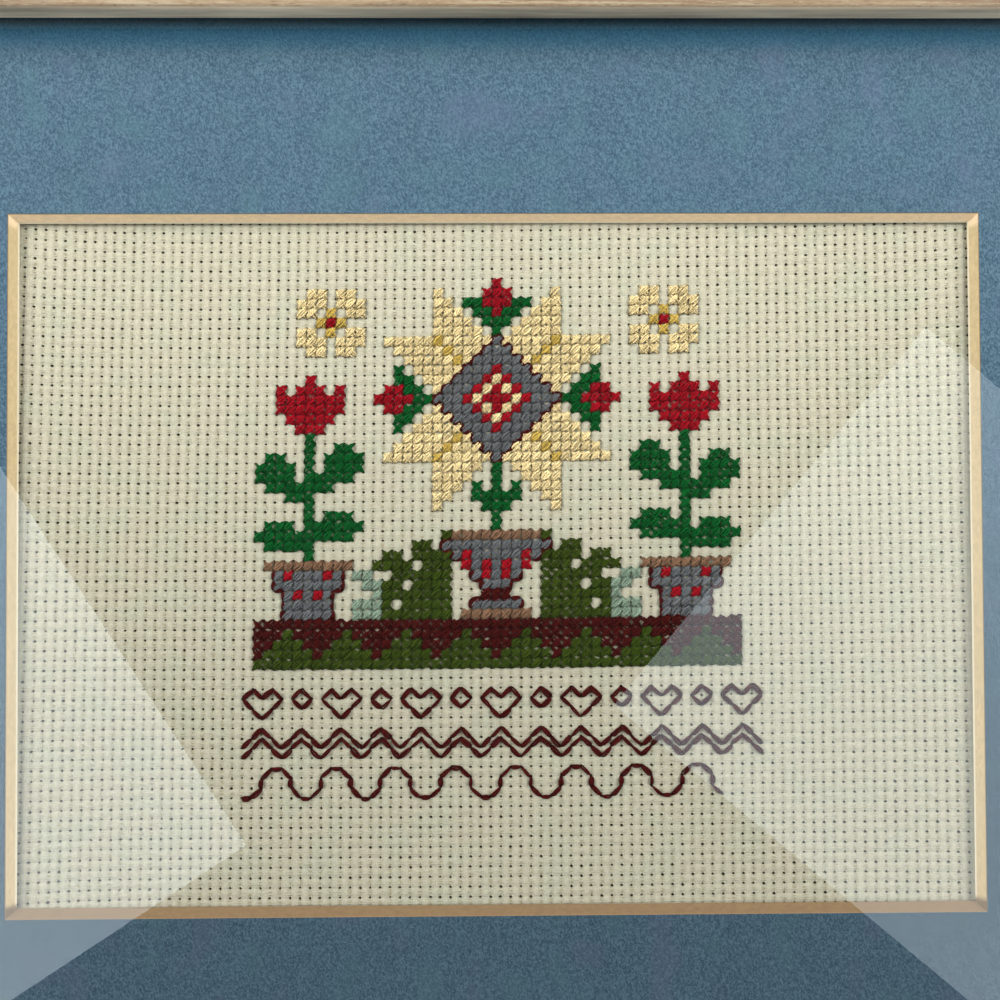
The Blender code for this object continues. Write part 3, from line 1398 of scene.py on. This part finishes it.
@dataclass
class Needlework:
    """Crosses and backstitches sewn on the cloth, strand by strand."""

    cloth: StitchedCloth
    chart: SamplerChart
    strand_radius: float = 0.17 * MM
    cross_half_width: float = 0.37 * MM
    line_half_width: float = 0.30 * MM
    arch: float = 0.06 * MM
    dive: float = 0.38 * MM
    under_lift: float = 0.09 * MM
    over_lift: float = 0.31 * MM
    line_lift: float = 0.20 * MM
    unevenness: float = 1.3
    cross_seed: int = 20
    line_seed: int = 40

    def _leg(self, start: Place, end: Place, lift: float) -> Leg:
        """Leg of thread between two holes.

        Args:
            start, end: the holes, in squares of the weave.
            lift: how far the thread stands proud of the cloth.

        Returns:
            The leg.
        """
        first = Vector(self.cloth.point(*start))
        last = Vector(self.cloth.point(*end))
        run = last - first
        middle = (first + last) / 2
        return Leg(tuple(middle), run.length, math.atan2(run.z, run.x), lift)

    def _sew(
        self,
        name: str,
        legs: list[Leg],
        tree: bpy.types.NodeTree,
        floss: Floss,
        half_width: float,
        seed: int,
    ) -> bpy.types.Object:
        """Sew legs of one floss.

        Args:
            name: the piece's name.
            legs: the legs of thread.
            tree: the sewing tree.
            floss: the colour.
            half_width: how far the outer strands lie from the middle one.
            seed: seed of the unevenness.

        Returns:
            The finished piece, one plain mesh.
        """
        holder = mesh_object(name + "_legs", [leg.middle for leg in legs], [], None)
        for key in ("reach", "turn", "lift"):
            layer = holder.data.attributes.new(key, "FLOAT", "POINT")
            layer.data.foreach_set("value", [getattr(leg, key) for leg in legs])
        modifier = holder.modifiers.new("sewing", "NODES")
        modifier.node_group = tree
        given = {
            "Strand radius": self.strand_radius,
            "Bundle half width": half_width,
            "Arch": self.arch,
            "Dive": self.dive,
            "Unevenness": self.unevenness,
            "Seed": seed,
            "Floss": StrandedCotton(floss).material(),
        }
        for item in tree.interface.items_tree:
            if item.in_out == "INPUT" and item.name in given:
                modifier[item.identifier] = given[item.name]
        graph = bpy.context.evaluated_depsgraph_get()
        mesh = bpy.data.meshes.new_from_object(holder.evaluated_get(graph))
        mesh.name = name
        bpy.data.objects.remove(holder)
        sewn = bpy.data.objects.new(name, mesh)
        bpy.context.scene.collection.objects.link(sewn)
        return finished(sewn)

    def build(self) -> list[bpy.types.Object]:
        """Sew every colour of the chart, then the backstitches.

        Returns:
            The pieces of needlework.
        """
        tree = SewingTree().build()
        pieces = []
        for seed, floss in enumerate(Floss, self.cross_seed):
            legs = []
            squares = [place for place, colour in self.chart.squares.items() if colour is floss]
            for column, row in sorted(squares):
                legs.append(self._leg((column, row + 1), (column + 1, row), self.under_lift))
                legs.append(self._leg((column, row), (column + 1, row + 1), self.over_lift))
            if legs:
                name = f"crosses_{floss.name.lower()}"
                pieces.append(self._sew(name, legs, tree, floss, self.cross_half_width, seed))
        legs = [self._leg(line.start, line.end, self.line_lift) for line in self.chart.lines]
        half_width = self.line_half_width
        pieces.append(self._sew("backstitches", legs, tree, Floss.MAROON, half_width, self.line_seed))
        return pieces


@dataclass
class Studio:
    """Camera, lamps, surroundings, floor and wall."""

    camera_place: Point = (-0.43 * MM, -148.1 * MM, -101.0 * MM)
    camera_right: Point = (0.99996, -0.00745, -0.00429)
    camera_up: Point = (0.00419, -0.01312, 0.99991)
    lens: float = 27.0
    lamp_aim: Point = (0.0, 0.0, -0.08)
    lamp_tint: Colour = (1.0, 0.985, 0.95, 1.0)
    window_tint: Colour = (0.80, 0.93, 1.0, 1.0)
    window_side: float = 0.55
    window_distance: float = 0.712
    in_front: Colour = (0.02, 0.022, 0.024, 1.0)
    beside_low: Colour = (0.40, 0.41, 0.41, 1.0)
    beside_high: Colour = (0.46, 0.46, 0.45, 1.0)
    behind: Colour = (0.62, 0.62, 0.61, 1.0)
    floor_paint: Colour = chip(178, 176, 172)
    floor_z: float = CAD_BOX[0].z - GAP
    room_reach: float = 6.0
    wall_height: float = 6.0
    wall_facets: int = 96
    wall_brightness: float = 0.56

    def camera(self) -> None:
        """Camera square in front of the picture, a little high and turned a little."""
        data = bpy.data.cameras.new("camera")
        data.lens = self.lens
        data.sensor_width = 36.0
        data.clip_start = 0.01
        camera = bpy.data.objects.new("camera", data)
        right = Vector(self.camera_right)
        up = Vector(self.camera_up)
        back = right.cross(up)
        turn = Matrix((right, up, back)).transposed().to_4x4()
        camera.matrix_world = Matrix.Translation(self.camera_place) @ turn
        bpy.context.scene.collection.objects.link(camera)
        bpy.context.scene.camera = camera

    def lamp(
        self, name: str, place: Point, aim: Point, size: Place, power: float, tint: Colour
    ) -> bpy.types.Object:
        """Soft box.

        Args:
            name: the lamp's name.
            place: its middle.
            aim: the point that it faces.
            size: its width and height.
            power: its power in watts.
            tint: its colour.

        Returns:
            The lamp.
        """
        data = bpy.data.lights.new(name, "AREA")
        data.shape = "RECTANGLE"
        data.size, data.size_y = size
        data.energy = power
        data.color = tint[:3]
        lamp = bpy.data.objects.new(name, data)
        lamp.location = place
        lamp.rotation_euler = (Vector(aim) - Vector(place)).to_track_quat("-Z", "Y").to_euler()
        lamp.visible_camera = False
        bpy.context.scene.collection.objects.link(lamp)
        return lamp

    def lights(self) -> None:
        """Soft boxes above and to both sides, and the two windows that the glass mirrors."""
        for name, place, size, power in (
            ("top_box", (0.0, -0.50, 0.56), (1.1, 0.4), 2.6),
            ("left_box", (-0.62, -0.42, 0.13), (0.34, 0.66), 5.6),
            ("right_box", (0.62, -0.42, 0.13), (0.34, 0.66), 5.6),
        ):
            self.lamp(name, place, self.lamp_aim, size, power, self.lamp_tint)
        self.mirrored_window("right_window", (0.519, -0.285), -40.0, 3.1)
        self.mirrored_window("left_window", (-0.657, -0.390), -57.0, 4.2)

    def mirrored_window(self, name: str, middle: Place, tilt: float, brightness: float) -> None:
        """Square window far in front, which only shows in what mirrors: in the glass, as a pale corner.

        Args:
            name: the lamp's name.
            middle: X and Z of its middle.
            tilt: how many degrees it is turned in its own plane.
            brightness: how bright it shows, where 1 is white.
        """
        side = self.window_side
        place = (middle[0], -self.window_distance, middle[1])
        ahead = (middle[0], 0.0, middle[1])
        power = brightness * math.pi * side * side
        window = self.lamp(name, place, ahead, (side, side), power, self.window_tint)
        window.rotation_euler.rotate_axis("Z", math.radians(tilt))
        window.visible_diffuse = False

    def world(self) -> None:
        """Pale surroundings that are dim in front of the picture, where the glass would mirror them."""
        world = bpy.data.worlds.new("room")
        world.use_nodes = True
        bpy.context.scene.world = world
        g = Graph(world.node_tree)
        _, y, z = g.parts(g.value("ShaderNodeTexCoord", None, None, "Generated"))
        beside = g.blend(z.ramp(-0.6, 0.5), self.beside_low, self.beside_high)
        colour = g.blend(y.ramp(-0.76, -0.32), self.in_front, beside)
        colour = g.blend(y.ramp(-0.10, 0.25), colour, self.behind)
        background = world.node_tree.nodes["Background"]
        g.feed(background.inputs["Color"], colour)

    @staticmethod
    def _show_to_camera_only(piece: bpy.types.Object) -> None:
        """Let a piece throw no shade, light no surface and show in no mirror.

        Args:
            piece: part of the room.
        """
        piece.visible_diffuse = False
        piece.visible_glossy = False
        piece.visible_shadow = False

    def floor(self) -> None:
        """Plain pale floor just under the frame, which only the camera sees."""
        reach = self.room_reach
        z = self.floor_z
        corners = [(-reach, -reach, z), (reach, -reach, z), (reach, reach, z), (-reach, reach, z)]
        s = Surface("floor", 0.9)
        x, y, _ = s.place()
        s.colour(s.shade(self.floor_paint, 0.98 + 0.04 * s.noise(s.vector(x * 3, y * 3, 0.0))))
        floor = mesh_object("floor", corners, [(0, 1, 2, 3)], s.material)
        self._show_to_camera_only(floor)

    def wall(self) -> None:
        """Plain pale wall round the floor, which only the camera sees and which isn't sampled as a lamp."""
        count = self.wall_facets
        reach = self.room_reach
        turns = [math.tau * step / count for step in range(count)]
        ring = [(reach * math.cos(turn), reach * math.sin(turn)) for turn in turns]
        levels = (self.floor_z, self.floor_z + self.wall_height)
        points = [(x, y, z) for z in levels for x, y in ring]
        sides = [(step, (step + 1) % count) for step in range(count)]
        faces = [(first, second, second + count, first + count) for first, second in sides]
        s = Surface("wall", 0.9, Specular_IOR_Level=0.0, Emission_Strength=self.wall_brightness)
        s.feed(s.shader.inputs["Base Color"], chip(0, 0, 0))
        s.material.cycles.emission_sampling = "NONE"
        wall = mesh_object("wall", points, faces, s.material)
        self._show_to_camera_only(wall)

    def build(self) -> None:
        """Set up everything that isn't part of the picture."""
        self.lights()
        self.world()
        self.floor()
        self.wall()
        bpy.context.scene.view_settings.view_transform = "Standard"


def main() -> None:
    """Dress the picture from its frame to its stitches."""
    logging.basicConfig(level=logging.INFO, format="%(message)s")
    studio = Studio()
    studio.camera()
    FrameRails().build()
    Panels().build()
    sheet = StitchedCloth()
    cloth = finished(sheet.build(BlockWeave()))
    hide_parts("stitched_cloth")
    chart = SamplerChart()
    chart.draw()
    stitches = Needlework(sheet, chart).build()
    studio.build()


if __name__ == "__main__":
    main()
